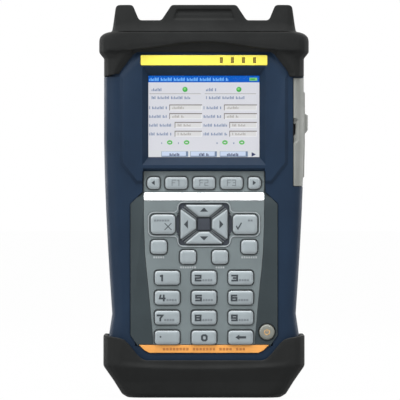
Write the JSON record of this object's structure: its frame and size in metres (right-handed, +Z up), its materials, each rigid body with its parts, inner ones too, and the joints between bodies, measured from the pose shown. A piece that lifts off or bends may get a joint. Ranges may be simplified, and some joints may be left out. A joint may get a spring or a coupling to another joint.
{
  "type": "handheld network tester",
  "caption": "Handheld network tester with a colour display, keypad, rubber end boots, test ports in the top, a hinged side door and a tilt stand.",
  "frame": {"origin": "centre of the box round the tester, on the surface that the bottom boot stands on", "axes": "+Z up the tester towards its ports, +X to the right as seen from the front, the display faces -Y"},
  "size_m": [0.1314, 0.06, 0.246],
  "materials": {
    "case_blue": "fine textured dark blue moulded plastic",
    "boot_rubber": "matt black moulded rubber",
    "yellow_plastic": "satin yellow plastic",
    "orange_plastic": "satin orange plastic",
    "light_grey_plastic": "satin light grey plastic",
    "dark_grey_plastic": "satin dark grey plastic",
    "door_grey_plastic": "satin warm grey plastic",
    "black_plastic": "satin black plastic",
    "key_grey": "satin pale grey keys",
    "power_grey": "satin grey button",
    "silver_trim": "satin silver",
    "window": "clear polished window",
    "clear_plastic": "clear light pipe",
    "screen": "lit colour display",
    "silicone": "grey silicone rubber",
    "board_green": "green circuit board",
    "steel": "bright zinc-plated steel"
  },
  "bodies": {
    "case": {"front_cover": "case_blue", "rear_cover": "case_blue", "top_boot": "boot_rubber", "bottom_boot": "boot_rubber", "indicator_strip": "yellow_plastic", "light_pipe": "clear_plastic", "display_window": "window", "lcd_module": "screen", "keypad_surround": "dark_grey_plastic", "keypad_plate": "light_grey_plastic", "silver_trim": "silver_trim", "accent_strip": "orange_plastic", "dpad_frame": "dark_grey_plastic", "key_mat": "silicone", "main_board": "board_green", "battery_pack": "black_plastic", "battery_cover": "case_blue", "battery_screw": "steel", "port_panel": "black_plastic", "test_jacks": "black_plastic", "optic_cage": "steel", "side_bay": "black_plastic", "usb_socket": "steel", "dc_jack": "black_plastic", "door_pin": "steel", "case_screw_1": "steel", "case_screw_2": "steel", "case_screw_3": "steel", "case_screw_4": "steel"},
    "side_door": {"side_door": "door_grey_plastic"},
    "door_latch": {"door_latch": "door_grey_plastic"},
    "kickstand": {"kickstand": "black_plastic"},
    "key_page_left": {"key_page_left": "key_grey"},
    "key_f1": {"key_f1": "key_grey"},
    "key_f2": {"key_f2": "key_grey"},
    "key_f3": {"key_f3": "key_grey"},
    "key_page_right": {"key_page_right": "key_grey"},
    "key_up": {"key_up": "key_grey"},
    "key_down": {"key_down": "key_grey"},
    "key_left": {"key_left": "key_grey"},
    "key_right": {"key_right": "key_grey"},
    "key_cancel": {"key_cancel": "key_grey"},
    "key_ok": {"key_ok": "key_grey"},
    "key_aux_1": {"key_aux_1": "key_grey"},
    "key_aux_2": {"key_aux_2": "key_grey"},
    "key_aux_3": {"key_aux_3": "key_grey"},
    "key_aux_4": {"key_aux_4": "key_grey"},
    "key_1": {"key_1": "key_grey"},
    "key_2": {"key_2": "key_grey"},
    "key_3": {"key_3": "key_grey"},
    "key_4": {"key_4": "key_grey"},
    "key_5": {"key_5": "key_grey"},
    "key_6": {"key_6": "key_grey"},
    "key_7": {"key_7": "key_grey"},
    "key_8": {"key_8": "key_grey"},
    "key_9": {"key_9": "key_grey"},
    "key_dot": {"key_dot": "key_grey"},
    "key_0": {"key_0": "key_grey"},
    "key_back": {"key_back": "key_grey"},
    "power_button": {"power_button": "power_grey"}
  },
  "joints": [
    {"name": "door_hinge", "type": "hinge", "parent": "case", "child": "side_door", "pos_m": [0.0604, 0.008, 0.1665], "axis": [0, 0, 1], "range_deg": [0, 100]},
    {"name": "latch_slide", "type": "slide", "parent": "side_door", "child": "door_latch", "axis": [0, 0, 1], "range_m": [0, 0.004]},
    {"name": "stand_hinge", "type": "hinge", "parent": "case", "child": "kickstand", "pos_m": [0, 0.0218, 0.19], "axis": [1, 0, 0], "range_deg": [0, 70]},
    {"name": "press_page_left", "type": "slide", "parent": "case", "child": "key_page_left", "axis": [0, 1, 0], "range_m": [0, 0.001], "stiffness_N_per_m": 400},
    {"name": "press_f1", "type": "slide", "parent": "case", "child": "key_f1", "axis": [0, 1, 0], "range_m": [0, 0.001], "stiffness_N_per_m": 400},
    {"name": "press_f2", "type": "slide", "parent": "case", "child": "key_f2", "axis": [0, 1, 0], "range_m": [0, 0.001], "stiffness_N_per_m": 400},
    {"name": "press_f3", "type": "slide", "parent": "case", "child": "key_f3", "axis": [0, 1, 0], "range_m": [0, 0.001], "stiffness_N_per_m": 400},
    {"name": "press_page_right", "type": "slide", "parent": "case", "child": "key_page_right", "axis": [0, 1, 0], "range_m": [0, 0.001], "stiffness_N_per_m": 400},
    {"name": "press_up", "type": "slide", "parent": "case", "child": "key_up", "axis": [0, 1, 0], "range_m": [0, 0.001], "stiffness_N_per_m": 400},
    {"name": "press_down", "type": "slide", "parent": "case", "child": "key_down", "axis": [0, 1, 0], "range_m": [0, 0.001], "stiffness_N_per_m": 400},
    {"name": "press_left", "type": "slide", "parent": "case", "child": "key_left", "axis": [0, 1, 0], "range_m": [0, 0.001], "stiffness_N_per_m": 400},
    {"name": "press_right", "type": "slide", "parent": "case", "child": "key_right", "axis": [0, 1, 0], "range_m": [0, 0.001], "stiffness_N_per_m": 400},
    {"name": "press_cancel", "type": "slide", "parent": "case", "child": "key_cancel", "axis": [0, 1, 0], "range_m": [0, 0.001], "stiffness_N_per_m": 400},
    {"name": "press_ok", "type": "slide", "parent": "case", "child": "key_ok", "axis": [0, 1, 0], "range_m": [0, 0.001], "stiffness_N_per_m": 400},
    {"name": "press_aux_1", "type": "slide", "parent": "case", "child": "key_aux_1", "axis": [0, 1, 0], "range_m": [0, 0.001], "stiffness_N_per_m": 400},
    {"name": "press_aux_2", "type": "slide", "parent": "case", "child": "key_aux_2", "axis": [0, 1, 0], "range_m": [0, 0.001], "stiffness_N_per_m": 400},
    {"name": "press_aux_3", "type": "slide", "parent": "case", "child": "key_aux_3", "axis": [0, 1, 0], "range_m": [0, 0.001], "stiffness_N_per_m": 400},
    {"name": "press_aux_4", "type": "slide", "parent": "case", "child": "key_aux_4", "axis": [0, 1, 0], "range_m": [0, 0.001], "stiffness_N_per_m": 400},
    {"name": "press_1", "type": "slide", "parent": "case", "child": "key_1", "axis": [0, 1, 0], "range_m": [0, 0.001], "stiffness_N_per_m": 400},
    {"name": "press_2", "type": "slide", "parent": "case", "child": "key_2", "axis": [0, 1, 0], "range_m": [0, 0.001], "stiffness_N_per_m": 400},
    {"name": "press_3", "type": "slide", "parent": "case", "child": "key_3", "axis": [0, 1, 0], "range_m": [0, 0.001], "stiffness_N_per_m": 400},
    {"name": "press_4", "type": "slide", "parent": "case", "child": "key_4", "axis": [0, 1, 0], "range_m": [0, 0.001], "stiffness_N_per_m": 400},
    {"name": "press_5", "type": "slide", "parent": "case", "child": "key_5", "axis": [0, 1, 0], "range_m": [0, 0.001], "stiffness_N_per_m": 400},
    {"name": "press_6", "type": "slide", "parent": "case", "child": "key_6", "axis": [0, 1, 0], "range_m": [0, 0.001], "stiffness_N_per_m": 400},
    {"name": "press_7", "type": "slide", "parent": "case", "child": "key_7", "axis": [0, 1, 0], "range_m": [0, 0.001], "stiffness_N_per_m": 400},
    {"name": "press_8", "type": "slide", "parent": "case", "child": "key_8", "axis": [0, 1, 0], "range_m": [0, 0.001], "stiffness_N_per_m": 400},
    {"name": "press_9", "type": "slide", "parent": "case", "child": "key_9", "axis": [0, 1, 0], "range_m": [0, 0.001], "stiffness_N_per_m": 400},
    {"name": "press_dot", "type": "slide", "parent": "case", "child": "key_dot", "axis": [0, 1, 0], "range_m": [0, 0.001], "stiffness_N_per_m": 400},
    {"name": "press_0", "type": "slide", "parent": "case", "child": "key_0", "axis": [0, 1, 0], "range_m": [0, 0.001], "stiffness_N_per_m": 400},
    {"name": "press_back", "type": "slide", "parent": "case", "child": "key_back", "axis": [0, 1, 0], "range_m": [0, 0.001], "stiffness_N_per_m": 400},
    {"name": "press_power", "type": "slide", "parent": "case", "child": "power_button", "axis": [0, 1, 0], "range_m": [0, 0.001], "stiffness_N_per_m": 400}
  ]
}
